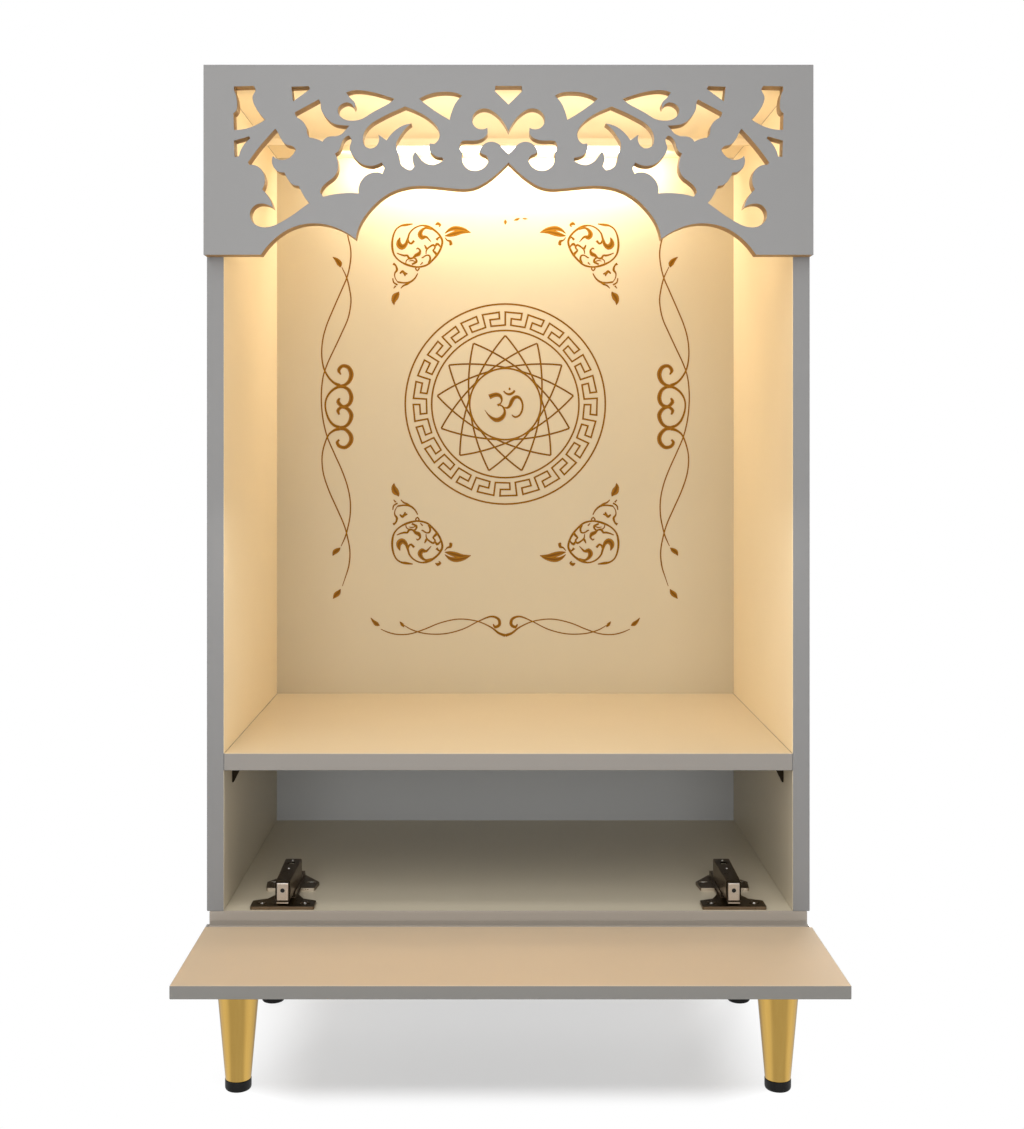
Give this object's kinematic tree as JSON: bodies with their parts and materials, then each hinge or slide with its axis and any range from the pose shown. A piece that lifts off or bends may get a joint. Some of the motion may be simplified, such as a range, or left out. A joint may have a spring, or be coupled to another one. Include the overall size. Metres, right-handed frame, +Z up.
{
  "type": "pooja mandir",
  "caption": "Household shrine cabinet with a cut fretwork arch fascia, lit altar niche, low storage compartment with a drop-down flap, and tapered metal legs.",
  "frame": {"origin": "on the ground, under the middle of the whole part with its flap open", "axes": "+Z up, -Y towards the front, +X to the right seen from the front"},
  "size_m": [0.6, 0.5454, 1.025],
  "materials": {
    "grey_laminate": "satin",
    "cream_laminate": "satin",
    "gold_metal": "polished",
    "black_foot": "matt",
    "bronzed_steel": "satin",
    "plated_steel": "plated",
    "light_tray": "satin",
    "opal_cover": "opal"
  },
  "bodies": {
    "cabinet": {"left_side_panel": "grey_laminate", "right_side_panel": "grey_laminate", "top_panel": "grey_laminate", "base_board": "grey_laminate", "altar_shelf": "grey_laminate", "altar_back_panel": "cream_laminate", "store_back_panel": "grey_laminate", "fretwork_fascia": "grey_laminate", "light_rail": "cream_laminate", "light_housing": "light_tray", "light_diffuser": "opal_cover", "leg_front_left": "gold_metal", "leg_foot_front_left": "black_foot", "leg_plate_front_left": "gold_metal", "shelf_brace_front_left": "bronzed_steel", "leg_front_right": "gold_metal", "leg_foot_front_right": "black_foot", "leg_plate_front_right": "gold_metal", "shelf_brace_front_right": "bronzed_steel", "leg_rear_left": "gold_metal", "leg_foot_rear_left": "black_foot", "leg_plate_rear_left": "gold_metal", "shelf_brace_rear_left": "bronzed_steel", "leg_rear_right": "gold_metal", "leg_foot_rear_right": "black_foot", "leg_plate_rear_right": "gold_metal", "shelf_brace_rear_right": "bronzed_steel", "hinge_plate_left": "bronzed_steel", "hinge_arm_left": "bronzed_steel", "hinge_front_block_left": "plated_steel", "flap_pivot_pin_left": "plated_steel", "hinge_plate_right": "bronzed_steel", "hinge_arm_right": "bronzed_steel", "hinge_front_block_right": "plated_steel", "flap_pivot_pin_right": "plated_steel"},
    "flap": {"flap_panel": "grey_laminate", "flap_pivot_plate_left": "plated_steel", "flap_pivot_plate_right": "plated_steel"}
  },
  "joints": [
    {"name": "flap_hinge", "type": "hinge", "parent": "cabinet", "child": "flap", "pos_m": [0, -0.105, 0.17325], "axis": [-1, 0, 0], "range_deg": [0, 90]}
  ]
}
